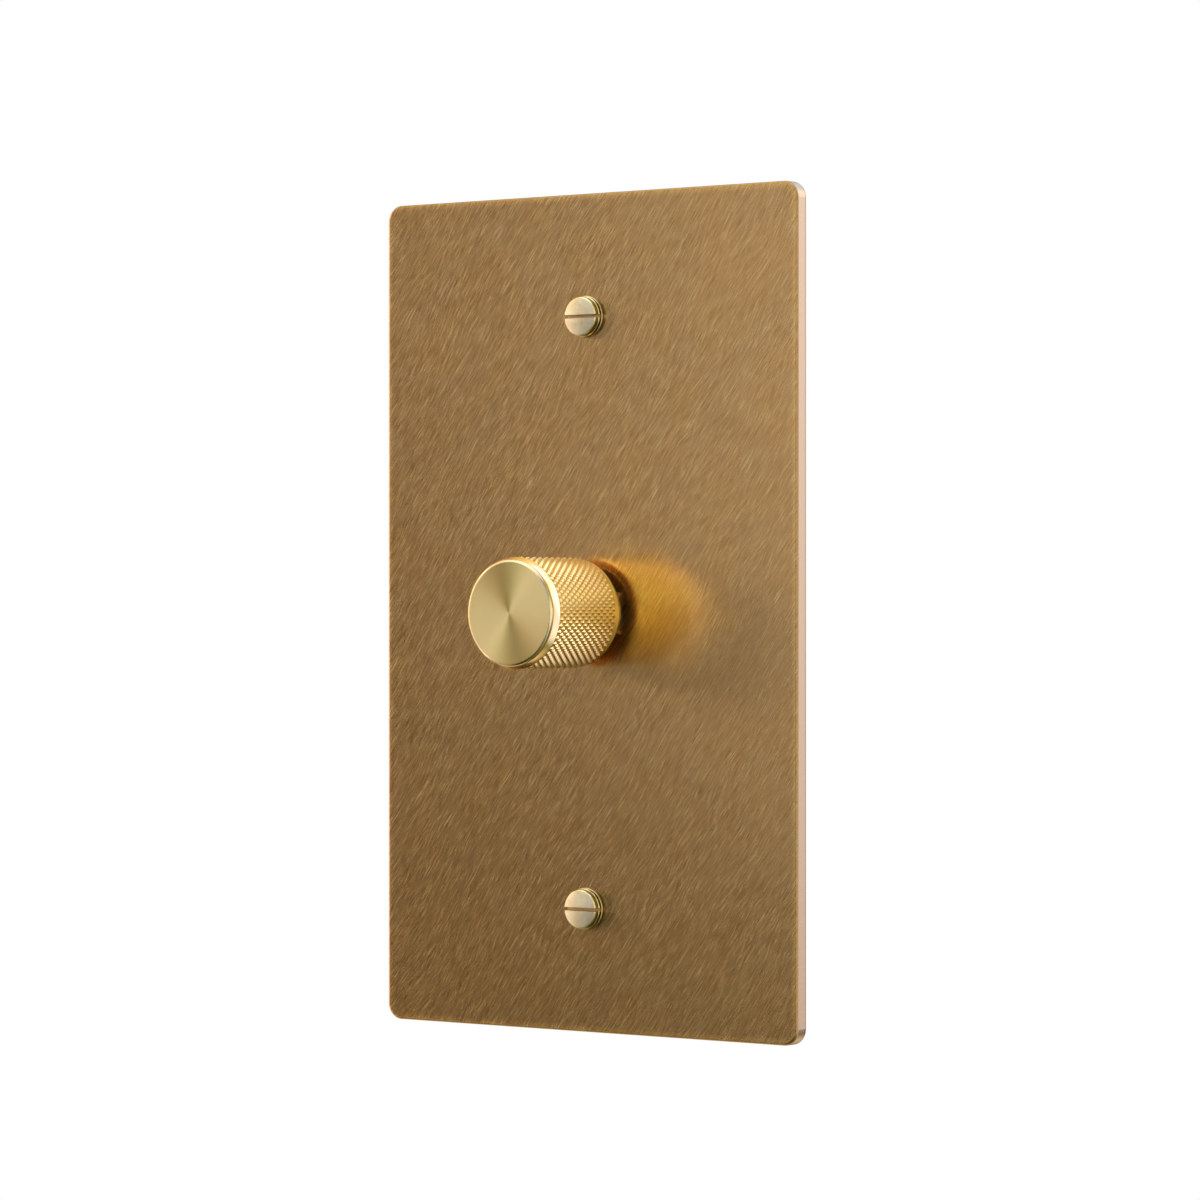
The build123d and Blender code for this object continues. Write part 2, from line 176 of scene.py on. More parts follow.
# ------------------------------------------------------------------- materials
def plate_material():
    """Smoked bronze sheet, rubbed by hand in short strokes that lean to the right."""
    g = Graph("plate_bronze")
    p = g.mm()
    x, y, z = g.split(p)
    warp = g.scaled(g.vmath("SUBTRACT", g.noise(p, 0.045, 1.0, 0.5, out="Color"), (0.5, 0.5, 0.5)), 2.0)
    fine_warp = g.scaled(g.vmath("SUBTRACT", g.noise(p, 0.35, 1.0, 0.5, out="Color"), (0.5, 0.5, 0.5)), 0.08)
    q = g.vmath("ADD", g.vmath("ADD", p, warp), fine_warp)

    def strokes(angle, length, width, seed, detail=2.0):
        a = math.radians(angle)
        along = g.vmath("DOT_PRODUCT", q, (math.cos(a) / length, 0, math.sin(a) / length))
        across = g.vmath("DOT_PRODUCT", q, (-math.sin(a) / width, 0, math.cos(a) / width))
        return g.math("SUBTRACT", g.noise(g.join(along, across, seed), 1.0, detail, 0.55), 0.5)

    main = strokes(54, 3.4, 0.092, 3.1)
    hair = strokes(57, 1.6, 0.060, 17.3, 1.0)
    steep = strokes(66, 2.6, 0.084, 41.7)
    shallow = strokes(46, 2.8, 0.084, 63.9)
    where_steep = g.ramp(g.noise(p, 0.07, 1.0), 0.42, 0.62)
    where_shallow = g.ramp(g.noise(g.vmath("ADD", p, (91, 7, 33)), 0.06, 1.0), 0.45, 0.65)
    s = g.math("ADD", g.math("MULTIPLY", main, 1.0), g.math("MULTIPLY", hair, 1.1))
    s = g.math("ADD", s, g.math("MULTIPLY", steep, where_steep))
    s = g.math("ADD", s, g.math("MULTIPLY", shallow, where_shallow))
    # a few longer, lighter strokes
    light = strokes(53, 6.0, 0.12, 88.2, 1.0)
    light = g.ramp(light, 0.12, 0.26, 0.0, 0.40)
    s = g.math("ADD", s, light)

    patches = g.math("SUBTRACT", g.noise(g.vmath("ADD", p, (5, 50, 11)), 0.09, 2.0), 0.5)
    # a rubbed line is paler than the metal between, not only brighter
    # painted light: the x term makes the plate's colour brighter towards its right side, where more light falls
    level = g.math("ADD", g.math("MULTIPLY_ADD", x, 0.0022, 1.0), g.math("MULTIPLY", patches, 0.10))
    tone = g.join(*(g.math("MULTIPLY_ADD", s, k, level) for k in (0.80, 1.20, 1.62)))
    hue = g.ramp(g.noise(g.vmath("ADD", p, (31, 3, 77)), 0.14, 2.0), 0.35, 0.65)
    base = g.mix(hue, (0.745, 0.449, 0.130), (0.725, 0.449, 0.139))
    # painted highlight: the rim of the plate is painted brighter, standing in for the reflection in its rounded edges
    edge_x = g.math("SUBTRACT", 36.0, g.math("ABSOLUTE", x))
    edge_z = g.math("SUBTRACT", 59.0, g.math("ABSOLUTE", z))
    edge = g.math("MINIMUM", edge_x, edge_z)
    edge = g.math("ADD", edge, g.math("MULTIPLY", patches, 0.5))
    rim = g.ramp(edge, 0.1, 1.2, 1.0, 0.0)
    base = g.tinted(base, g.join(*(g.math("MULTIPLY_ADD", rim, k, 1.0) for k in (0.44, 0.36, 0.28))))
    base = g.tinted(base, tone)
    # the sheared sides are paler; painted shade makes them darker towards the top, and a painted dark line runs along
    # their rear edge
    geo = g.node("ShaderNodeNewGeometry")
    nx, ny, nz = g.split(geo.outputs["Normal"])
    side = g.ramp(g.math("ABSOLUTE", ny), 0.25, 0.75, 1.0, 0.0)
    rear = g.ramp(y, -0.30, -0.12)
    side_tone_shaded = g.tone(g.mix(rear, (0.515, 0.365, 0.225), (0.32, 0.205, 0.115)), g.math("MULTIPLY_ADD", z, -0.0022, 1.0))
    base = g.mix(side, base, side_tone_shaded)
    # painted shade: the rounded edge between is painted darker
    ny_abs = g.math("ABSOLUTE", ny)
    turn = g.math("MULTIPLY", ny_abs, g.math("SUBTRACT", 1.0, ny_abs))
    base = g.tone(base, g.ramp(turn, 0.001, 0.03, 1.0, 0.50))
    rough = g.math("ADD", g.ramp(turn, 0.015, 0.12, 0.24, 0.40), g.math("MULTIPLY", s, 0.10))
    height = g.math("MULTIPLY", s, g.math("SUBTRACT", 1.0, side))
    # the strokes spread a reflection across themselves
    across = math.radians(145)
    g.set(color=base, metal=1.0, rough=rough, normal=g.bump(height, 0.05, 0.00003), aniso=0.70,
          tangent=g.join(math.cos(across), 0.0, math.sin(across)))
    return g.mat


def brass_face_material():
    """Turned face: fine rings about the axis, so light spreads outwards from the centre."""
    g = Graph("brass_turned_face")
    p = g.mm()
    x, y, z = g.split(p)
    r = g.math("SQRT", g.math("ADD", g.math("MULTIPLY", x, x), g.math("MULTIPLY", z, z)))
    rings = g.noise(g.join(g.math("MULTIPLY", r, 9.0), 0.0, 0.0), 1.0, 3.0, 0.6)
    cloud = g.noise(p, 0.25, 2.0)
    tone = g.math("ADD", 0.97, g.math("ADD", g.math("MULTIPLY", g.math("SUBTRACT", rings, 0.5), 0.05),
                                      g.math("MULTIPLY", g.math("SUBTRACT", cloud, 0.5), 0.06)))
    tangent = g.node("ShaderNodeTangent", direction_type="RADIAL", axis="Y")
    g.set(color=g.tone((0.93, 0.745, 0.268), tone), metal=1.0, rough=0.37, aniso=0.92,
          aniso_rot=0.25, tangent=tangent.outputs[0])
    return g.mat


def brass_polished_material():
    g = Graph("brass_polished")
    p = g.mm()
    fine = g.math("SUBTRACT", g.noise(p, 3.0, 2.0), 0.5)
    tone = g.math("ADD", 0.98, g.math("MULTIPLY", fine, 0.05))
    g.set(color=g.tone((0.94, 0.73, 0.395), tone), metal=1.0,
          rough=g.math("ADD", 0.17, g.math("MULTIPLY", fine, 0.05)))
    return g.mat


def brass_knurl_material():
    g = Graph("brass_knurled")
    p = g.mm()
    fine = g.math("SUBTRACT", g.noise(p, 2.2, 2.0), 0.5)
    x, y, z = g.split(p)
    r = g.math("SQRT", g.math("ADD", g.math("MULTIPLY", x, x), g.math("MULTIPLY", z, z)))
    deep = g.ramp(r, 7.54, 7.72, 1.0, 0.0)
    base = g.mix(deep, (0.935, 0.745, 0.33), (0.92, 0.73, 0.35))
    tone = g.math("ADD", 0.98, g.math("MULTIPLY", fine, 0.06))
    g.set(color=g.tone(base, tone), metal=1.0,
          rough=g.math("ADD", g.math("MULTIPLY_ADD", deep, 0.10, 0.25), g.math("MULTIPLY", fine, 0.06)))
    return g.mat


def brass_inside_material():
    g = Graph("brass_bored")
    p = g.mm()
    rings = g.math("SUBTRACT", g.noise(g.vmath("MULTIPLY", p, (0.3, 9.0, 0.3)), 1.0, 2.0), 0.5)
    g.set(color=g.tone((0.72, 0.54, 0.26), g.math("ADD", 0.95, g.math("MULTIPLY", rings, 0.2))), metal=1.0,
          rough=0.34)
    return g.mat


def screw_brass_material():
    g = Graph("screw_brass")
    p = g.mm()
    cloud = g.math("SUBTRACT", g.noise(p, 0.55, 3.0, 0.6), 0.5)
    spots = g.ramp(g.noise(g.vmath("ADD", p, (3, 1, 9)), 1.6, 2.0), 0.60, 0.72, 0.0, 1.0)
    base = g.mix(g.ramp(cloud, -0.15, 0.15), (0.87, 0.74, 0.37), (0.91, 0.80, 0.44))
    base = g.mix(g.math("MULTIPLY", spots, 0.22), base, (0.50, 0.38, 0.17))
    lines = g.math("SUBTRACT", g.noise(g.vmath("MULTIPLY", p, (0.5, 2.0, 5.0)), 1.0, 2.0), 0.5)
    # the face is pale from wear; the side is painted dark as painted shade, darkest towards the foot, and the bead at
    # the foot is painted orange as a painted reflection
    x, y, z = g.split(p)
    nx, ny, nz = g.split(g.node("ShaderNodeNewGeometry").outputs["Normal"])
    side = g.ramp(g.math("ABSOLUTE", ny), 0.25, 0.60, 1.0, 0.0)
    off = g.math("SUBTRACT", g.math("ABSOLUTE", z), 41.65)
    r = g.math("SQRT", g.math("ADD", g.math("MULTIPLY", x, x), g.math("MULTIPLY", off, off)))
    bead = g.ramp(r, 2.88, 2.93)
    # painted shade: the side is given a dark colour that darkens further towards the foot; the bead's orange is a
    # painted reflection
    dark = g.mix(g.ramp(y, -3.0, -2.65), (0.27, 0.195, 0.065), (0.055, 0.038, 0.010))
    side_shade_and_foot_reflection = g.mix(bead, dark, (0.50, 0.27, 0.05))
    base = g.mix(g.math("MULTIPLY", g.math("MAXIMUM", side, bead), g.ramp(y, -1.9, -1.8, 1.0, 0.0)), base, side_shade_and_foot_reflection)
    tone = g.math("ADD", 1.0, g.math("ADD", g.math("MULTIPLY", cloud, 0.25), g.math("MULTIPLY", lines, 0.12)))
    g.set(color=g.tone(base, tone), metal=1.0,
          rough=g.math("ADD", g.ramp(g.math("ABSOLUTE", ny), 0.90, 0.985, 0.26, 0.45), g.math("MULTIPLY", cloud, 0.10)),
          normal=g.bump(g.math("MULTIPLY", lines, 0.6), 0.10, 0.00002))
    return g.mat


def screw_slot_material():
    """The sawn slot, with painted shade: darker and more orange than the head."""
    g = Graph("screw_slot")
    p = g.mm()
    lines = g.math("SUBTRACT", g.noise(g.vmath("MULTIPLY", p, (0.6, 4.0, 4.0)), 1.0, 2.0), 0.5)
    g.set(color=g.tone((0.74, 0.50, 0.16), g.math("ADD", 0.95, g.math("MULTIPLY", lines, 0.3))), metal=1.0, rough=0.38)
    return g.mat


def metal_material(name, color, rough, streak=(1, 1, 1), vary=0.12, bump=0.1):
    g = Graph(name)
    p = g.mm()
    fine = g.math("SUBTRACT", g.noise(g.vmath("MULTIPLY", p, streak), 1.0, 3.0), 0.5)
    cloud = g.math("SUBTRACT", g.noise(p, 0.3, 2.0), 0.5)
    tone = g.math("ADD", 1.0, g.math("ADD", g.math("MULTIPLY", fine, vary), g.math("MULTIPLY", cloud, vary)))
    g.set(color=g.tone(color, tone), metal=1.0, rough=g.math("ADD", rough, g.math("MULTIPLY", fine, 0.12)),
          normal=g.bump(fine, bump, 0.00002))
    return g.mat


def plastic_material(name, color, rough, grain=5.0, bump=0.25, vary=0.10, coat=0.0):
    g = Graph(name)
    p = g.mm()
    fine = g.math("SUBTRACT", g.noise(p, grain, 2.0, 0.6), 0.5)
    cloud = g.math("SUBTRACT", g.noise(p, 0.12, 2.0), 0.5)
    tone = g.math("ADD", 1.0, g.math("ADD", g.math("MULTIPLY", fine, vary), g.math("MULTIPLY", cloud, vary)))
    g.set(color=g.tone(color, tone), metal=0.0, rough=g.math("ADD", rough, g.math("MULTIPLY", fine, 0.12)),
          normal=g.bump(fine, bump, 0.00003))
    if coat:
        g.set(coat=coat, coat_rough=0.15)
    return g.mat


def board_material():
    """Green laminate with paler copper runs under the mask."""
    g = Graph("board_laminate")
    p = g.mm()
    x, y, z = g.split(p)
    run_x = g.math("PINGPONG", g.math("ADD", x, g.math("MULTIPLY", g.noise(p, 0.12, 0.0), 3.0)), 1.3)
    run_z = g.math("PINGPONG", g.math("ADD", z, g.math("MULTIPLY", g.noise(p, 0.10, 0.0), 3.0)), 1.5)
    area = g.ramp(g.noise(p, 0.16, 0.0), 0.47, 0.53)
    runs = g.mix(area, g.ramp(run_x, 0.7, 0.8), g.ramp(run_z, 0.8, 0.9))
    base = g.mix(runs, (0.018, 0.13, 0.05), (0.05, 0.27, 0.10))
    g.set(color=base, metal=0.0, rough=0.32, normal=g.bump(runs, 0.4, 0.00004))
    return g.mat


def winding_material():
    g = Graph("copper_winding")
    p = g.mm()
    c = g.vmath("SUBTRACT", p, (5.9, 0.0, -15.9))
    x, y, z = g.split(c)
    turn = g.math("MULTIPLY", g.math("ARCTAN2", x, z), 36.0 / TAU)
    wave = g.math("PINGPONG", turn, 0.5)
    # painted shade: the copper is painted darker between the turns of wire
    g.set(color=g.mix(g.ramp(wave, 0.0, 0.45), (0.20, 0.06, 0.02), (0.75, 0.32, 0.12)), metal=1.0, rough=0.25,
          normal=g.bump(wave, 0.8, 0.0002))
    return g.mat


def track_material():
    g = Graph("track_laminate")
    p = g.mm()
    x, y, z = g.split(p)
    r = g.math("SQRT", g.math("ADD", g.math("MULTIPLY", x, x), g.math("MULTIPLY", z, z)))
    ring = g.math("MULTIPLY", g.ramp(r, 4.5, 4.6), g.ramp(r, 6.4, 6.5, 1.0, 0.0))
    fine = g.noise(p, 6.0, 2.0)
    base = g.mix(ring, g.tone((0.30, 0.16, 0.07), g.math("ADD", 0.7, g.math("MULTIPLY", fine, 0.6))),
                 (0.03, 0.03, 0.03))
    g.set(color=base, metal=0.0, rough=0.5)
    return g.mat


def triac_material():
    g = Graph("triac_body")
    p = g.mm()
    x, y, z = g.split(p)
    fine = g.math("SUBTRACT", g.noise(p, 5.0, 2.0), 0.5)
    tab = g.math("MULTIPLY", g.ramp(z, 15.49, 15.5, 1.0, 0.0), 1.0)
    leg = g.ramp(z, 22.2, 22.21)
    back = g.ramp(y, 1.75, 1.76, 1.0, 0.0)
    metal = g.math("MAXIMUM", g.math("MAXIMUM", tab, leg), back)
    base = g.mix(metal, g.tone((0.025, 0.025, 0.027), g.math("ADD", 1.0, g.math("MULTIPLY", fine, 0.3))),
                 (0.70, 0.69, 0.67))
    g.set(color=base, metal=metal, rough=g.math("ADD", 0.42, g.math("MULTIPLY", fine, 0.15)))
    return g.mat


MAT = {
    "plate": plate_material(),
    "face": brass_face_material(),
    "polished": brass_polished_material(),
    "knurl": brass_knurl_material(),
    "inside": brass_inside_material(),
    "screw": screw_brass_material(),
    "slot": screw_slot_material(),
    "steel": metal_material("zinc_plated_steel", (0.62, 0.62, 0.60), 0.34, (2.0, 2.0, 2.0), 0.16),
    "spring": metal_material("spring_wire", (0.42, 0.42, 0.43), 0.30, (3.0, 3.0, 3.0), 0.10),
    "nickel": metal_material("nickel_plate", (0.68, 0.65, 0.59), 0.22, (0.6, 5.0, 0.6), 0.08),
    "aluminium": metal_material("aluminium_sheet", (0.72, 0.73, 0.74), 0.36, (0.3, 1.0, 7.0), 0.16),
    "shaft": metal_material("aluminium_turned", (0.74, 0.75, 0.76), 0.30, (0.4, 8.0, 0.4), 0.12),
    "contact": metal_material("contact_strip", (0.72, 0.52, 0.28), 0.28, (4.0, 0.6, 0.6), 0.12),
    "terminal": metal_material("machined_brass", (0.74, 0.57, 0.28), 0.30, (0.6, 4.0, 0.6), 0.14),
    "housing": plastic_material("housing_plastic", (0.050, 0.051, 0.055), 0.52, 4.0, 0.35, 0.25),
    "black": plastic_material("black_plastic", (0.028, 0.028, 0.030), 0.45, 5.0, 0.25, 0.2),
    "cream": plastic_material("acetal_plastic", (0.74, 0.70, 0.60), 0.40, 3.0, 0.15, 0.08),
    "pad": plastic_material("silicone_pad", (0.50, 0.51, 0.53), 0.65, 4.0, 0.2, 0.08),
    "ferrite": plastic_material("ring_paint", (0.60, 0.46, 0.08), 0.35, 2.5, 0.3, 0.12),
    "film": plastic_material("capacitor_box", (0.66, 0.44, 0.05), 0.35, 3.0, 0.15, 0.10),
    "sleeve": plastic_material("capacitor_sleeve", (0.025, 0.04, 0.12), 0.28, 1.5, 0.1, 0.10, 0.3),
    "fuse": plastic_material("fuse_case", (0.045, 0.045, 0.048), 0.35, 3.0, 0.2, 0.15),
    "chip_res": plastic_material("chip_resistor", (0.035, 0.035, 0.04), 0.30, 3.0, 0.1, 0.1),
    "board": board_material(),
    "winding": winding_material(),
    "track": track_material(),
    "triac": triac_material(),
}

FINISH = {
    "wall_plate": "plate", "plate_screws": "screw", "knob": "polished", "knob_set_screw": "steel",
    "pot_shaft": "shaft", "shaft_clip": "steel", "pot_bush": "nickel", "bush_washer": "steel",
    "bush_nut": "nickel", "pot_case": "black", "resistor_track": "track", "pot_pins": "contact",
    "wiper_carrier": "cream", "wiper_contact": "contact", "switch_body": "black",
    "switch_plunger": "cream", "moving_contact": "contact", "fixed_contacts": "contact",
    "return_spring": "spring", "heat_sink": "aluminium", "housing": "housing",
    "housing_screws": "steel", "circuit_board": "board", "triac": "triac", "triac_pad": "pad",
    "triac_screw": "steel", "choke_core": "ferrite", "choke_winding": "winding",
    "filter_capacitor": "film", "smoothing_capacitor": "sleeve", "fuse": "fuse",
    "control_chip": "black", "board_resistors": "chip_res", "terminal_blocks": "terminal",
    "terminal_screws": "steel", "earth_stud": "steel", "earth_washer": "steel", "earth_nut": "steel",
}
for name, o in nodes.items():
    o.data.materials.clear()
    o.data.materials.append(MAT[FINISH[name]])


# --------------------------------------------------------------- mesh helpers
def add_object(name, bm, mats, body, stands_for=None, smooth_angle=None):
    me = bpy.data.meshes.new(name)
    bmesh.ops.recalc_face_normals(bm, faces=bm.faces[:])
    bm.to_mesh(me)
    bm.free()
    o = bpy.data.objects.new(name, me)
    scene.collection.objects.link(o)
    for m in mats:
        me.materials.append(m)
    if smooth_angle is not None:
        for poly in me.polygons:
            poly.use_smooth = True
        me.set_sharp_from_angle(angle=math.radians(smooth_angle))
    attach(o, body)
    if stands_for:
        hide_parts(stands_for)
    return o


def polar(r, a, y):
    """A point at radius r, at angle a clockwise from the top seen from the front, at depth y. Millimetres."""
    return Vector((r * math.sin(a) * MM, y * MM, r * math.cos(a) * MM))


# ------------------------------------------------------------------ the knob
KNOB_R, KNOB_ROOT = 7.79, 7.55
Y_FACE, Y_REAR = -19.70, -4.25
Y_COLLAR, Y_BAND = -18.26, -4.62
KNURL_N = 54            # diamonds around
KNURL_PITCH = 1.39      # from a diamond to the next one behind it
KNURL_Y0 = -17.50       # the first ring of diamonds
KNURL_COLUMNS = 18      # rings of diamonds, each half a pitch behind the last
KNURL_GROOVE = 0.115    # half the flat between two diamonds, as a share of their spacing
KNURL_TOP = 0.045       # half the flat on top of a diamond


def build_knob():
    bm = bmesh.new()
    # u and v count the two families of grooves; each diamond stands in one cell of (u, v)
    lines = [KNURL_GROOVE, 0.5 - KNURL_TOP, 0.5 + KNURL_TOP, 1.0 - KNURL_GROOVE]
    raised = [0, 1, 1, 0]
    verts = {}

    def vert(iu, iv):
        cu, lu = divmod(iu, 4)
        cv, lv = divmod(iv, 4)
        k = (cu + cv) // 2 // KNURL_N          # one turn adds N to both u and v
        key = (iu - 4 * KNURL_N * k, iv - 4 * KNURL_N * k)
        if key not in verts:
            u, v = cu + lines[lu], cv + lines[lv]
            up = raised[lu] and raised[lv] and 0 <= cu - cv < KNURL_COLUMNS
            a = (u + v) / 2 * TAU / KNURL_N
            verts[key] = bm.verts.new(polar(KNOB_R if up else KNOB_ROOT, a,
                                            KNURL_Y0 + (u - v) / 2 * KNURL_PITCH))
        return verts[key]

    for around in range(2 * KNURL_N):
        for column in range(-3, KNURL_COLUMNS + 4):
            if (around + column) % 2:
                continue
            cu, cv = (around + column) // 2, (around - column) // 2
            for a in range(4):
                for b in range(4):
                    iu, iv = 4 * cu + a, 4 * cv + b
                    q = [vert(iu, iv), vert(iu + 1, iv), vert(iu + 1, iv + 1), vert(iu, iv + 1)]
                    # a diamond folds along its four ridges
                    tris = ((0, 1, 2), (0, 2, 3)) if a == b else ((0, 1, 3), (1, 2, 3))
                    for tri in tris:
                        f = bm.faces.new([q[i] for i in tri])
                        f.smooth = 3 in (a, b) or not 0 <= cu - cv < KNURL_COLUMNS
    for y, keep_above in ((Y_COLLAR, True), (Y_BAND, False)):
        bmesh.ops.bisect_plane(
            bm, geom=bm.verts[:] + bm.edges[:] + bm.faces[:], dist=1e-8, plane_co=(0, y * MM, 0),
            plane_no=(0, 1, 0), clear_inner=keep_above, clear_outer=not keep_above)
    for f in bm.faces:
        f.material_index = 1

    def rim(y):
        """An end of the knurled length, in order around the knob."""
        ring = [v for v in bm.verts if abs(v.co.y - y * MM) < 1e-7 and v.is_boundary]
        return sorted(ring, key=lambda v: math.atan2(v.co.x, v.co.z) % TAU)

    front, rear = rim(Y_COLLAR), rim(Y_BAND)

    def lathe(ring, profile):
        """Rings of points from an end of the knurled length, along a turned profile of (radius, depth, finish)."""
        angles = [math.atan2(v.co.x, v.co.z) for v in ring]
        last = ring
        for r, y, m in profile:
            nxt = [bm.verts.new(polar(r, a, y)) for a in angles]
            for i in range(len(ring)):
                j = (i + 1) % len(ring)
                f = bm.faces.new((last[i], last[j], nxt[j], nxt[i]))
                f.material_index = m
                f.smooth = True
            last = nxt
        f = bm.faces.new(last)
        f.material_index = profile[-1][2]
        f.smooth = True

    # front: a step out to the smooth cone, thin disc, bevel, flat face
    lathe(front,
          [(7.735, Y_COLLAR - 0.03, 0), (7.765, Y_COLLAR - 0.06, 0), (7.755, Y_COLLAR - 0.09, 0),
           (7.39, Y_FACE + 0.53, 0), (7.37, Y_FACE + 0.49, 0),
           (7.37, Y_FACE + 0.23, 0), (7.30, Y_FACE + 0.14, 0), (7.06, Y_FACE + 0.01, 0), (7.03, Y_FACE, 0)]
          + [(r, Y_FACE, 2) for r in (6.9, 5.8, 4.6, 3.4, 2.2, 1.1, 0.3)])
    # rear: rounded rim, hollow back, shaft bore
    round_rim = [(KNOB_ROOT - 0.35 + 0.35 * math.cos(t), Y_REAR - 0.35 + 0.35 * math.sin(t), 0)
                 for t in (0.0, 0.4, 0.8, 1.2, math.pi / 2)]
    lathe(rear, round_rim + [
        (6.45, Y_REAR, 0), (6.34, Y_REAR - 0.05, 0), (6.30, Y_REAR - 0.15, 3), (6.30, -9.9, 3), (6.25, -10.0, 3),
        (3.32, -10.0, 3), (3.02, -10.3, 3), (3.02, -17.6, 3), (0.3, -17.6, 3)])
    o = add_object("knob_knurled", bm, [MAT["polished"], MAT["knurl"], MAT["face"], MAT["inside"]],
                   "knob_and_shaft", "knob")
    # the threaded hole of the set screw
    cut = bpy.data.meshes.new("set_screw_hole")
    cb = bmesh.new()
    bmesh.ops.create_cone(cb, cap_ends=True, segments=40, radius1=1.5 * MM, radius2=1.5 * MM, depth=8 * MM)
    for v in cb.verts:
        v.co = Vector((v.co.z - 5.0 * MM, v.co.x - 14.0 * MM, v.co.y))
    for f in cb.faces:
        f.material_index = 3
    cb.to_mesh(cut)
    cb.free()
    tool = bpy.data.objects.new("set_screw_hole", cut)
    for m in o.data.materials:
        cut.materials.append(m)
    scene.collection.objects.link(tool)
    mod = o.modifiers.new("hole", "BOOLEAN")
    mod.operation = "DIFFERENCE"
    mod.solver = "EXACT"
    mod.object = tool
    bpy.context.view_layer.update()
    done = bpy.data.meshes.new_from_object(o.evaluated_get(bpy.context.evaluated_depsgraph_get()))
    o.modifiers.clear()
    old = o.data
    o.data = done
    bpy.data.meshes.remove(old)
    bpy.data.objects.remove(tool)
    bpy.data.meshes.remove(cut)
    done.set_sharp_from_angle(angle=math.radians(22))
    return o


knob = build_knob()


# --------------------------------------------------------------- plate screws
def thread_radius(phase, r, depth):
    """Sixty-degree thread with a narrow crest and root; phase in turns."""
    d = abs(phase - round(phase)) * 2
    return r - depth * min(1.0, max(0.0, (1 - d - 0.10) / 0.78))


def threaded(bm, x, z, r, depth, pitch, y0, y1, ring_in, ring_out, mat=0, seg=40):
    """A threaded shank along Y, from a plain ring of radius ring_in at y0 to a closed end of radius ring_out at y1."""
    step = pitch / 8
    n = int(round((y1 - y0) / step))
    rows = []
    for k in range(n + 1):
        y = y0 + (y1 - y0) * k / n
        fade = min(1.0, (y - y0) / (pitch * 0.8))
        tip = max(0.0, 1.0 - (y1 - y) / (depth + 0.25))
        row = []
        for i in range(seg):
            a = TAU * i / seg
            rr = ring_in + (thread_radius(y / pitch - i / seg, r, depth) - ring_in) * fade
            rr = min(rr, r - tip * (r - ring_out))
            p = polar(rr, a, y)
            p.x += x * MM
            p.z += z * MM
            row.append(bm.verts.new(p))
        rows.append(row)
    for a, b in zip(rows, rows[1:]):
        for i in range(seg):
            j = (i + 1) % seg
            f = bm.faces.new((a[i], a[j], b[j], b[i]))
            f.material_index = mat
    f = bm.faces.new(rows[-1])
    f.material_index = mat
    return rows[0]


def build_screws():
    bm = bmesh.new()
    seg = 96
    slot_half, slot_deep = 0.25, 1.10
    for zc in (41.65, -41.65):
        y_top, y_seat = -3.60, -2.10

        def ring(r, y):
            out = []
            for i in range(seg):
                p = polar(r, TAU * (i + 0.5) / seg, y)
                p.z += zc * MM
                out.append(bm.verts.new(p))
            return out

        profile = [(1.40, y_seat), (2.95, y_seat), (2.98, y_seat - 0.02), (2.99, y_seat - 0.05), (2.98, y_seat - 0.08),
                   (2.95, y_seat - 0.105), (2.90, y_seat - 0.12), (2.86, y_seat - 0.15), (2.85, y_seat - 0.62),
                   (2.82, y_seat - 0.66), (2.77, y_seat - 0.70), (2.76, y_top + 0.26), (2.75, y_top + 0.19),
                   (2.71, y_top + 0.10), (2.63, y_top + 0.035), (2.54, y_top)]
        rings = [ring(r, y) for r, y in profile]
        for a, b in zip(rings, rings[1:]):
            for i in range(seg):
                j = (i + 1) % seg
                bm.faces.new((a[i], a[j], b[j], b[i]))
        bm.faces.new(rings[-1])
        first = threaded(bm, 0.0, zc, 1.75, 0.40, 0.794, -0.30, 20.0, 1.40, 1.2, seg=48)
        bmesh.ops.bridge_loops(bm, edges=list({e for v in rings[0] for e in v.link_edges if e.is_boundary}
                                              | {e for v in first for e in v.link_edges if e.is_boundary}))
    o = add_object("plate_screws_cut", bm, [MAT["screw"], MAT["slot"]], "base", "plate_screws")
    tool_mesh = bpy.data.meshes.new("slots")
    tb = bmesh.new()
    for zc, tilt in ((41.65, 0.0), (-41.65, 0.0)):
        made = bmesh.ops.create_cube(tb, size=1.0)["verts"]
        for v in made:
            v.co = Vector((v.co.x * 8 * MM, (v.co.y * 2 - 3.60 + slot_deep - 1.0) * MM,
                           (v.co.z * 2 * slot_half + zc) * MM))
    for f in tb.faces:
        f.material_index = 1
    tb.to_mesh(tool_mesh)
    tb.free()
    for m in o.data.materials:
        tool_mesh.materials.append(m)
    tool = bpy.data.objects.new("slots", tool_mesh)
    scene.collection.objects.link(tool)
    mod = o.modifiers.new("slot", "BOOLEAN")
    mod.operation = "DIFFERENCE"
    mod.solver = "EXACT"
    mod.object = tool
    bpy.context.view_layer.update()
    done = bpy.data.meshes.new_from_object(o.evaluated_get(bpy.context.evaluated_depsgraph_get()))
    o.modifiers.clear()
    old = o.data
    o.data = done
    bpy.data.meshes.remove(old)
    bpy.data.objects.remove(tool)
    bpy.data.meshes.remove(tool_mesh)
    for poly in done.polygons:
        poly.use_smooth = True
    done.set_sharp_from_angle(angle=math.radians(32))
    return o


screws = build_screws()


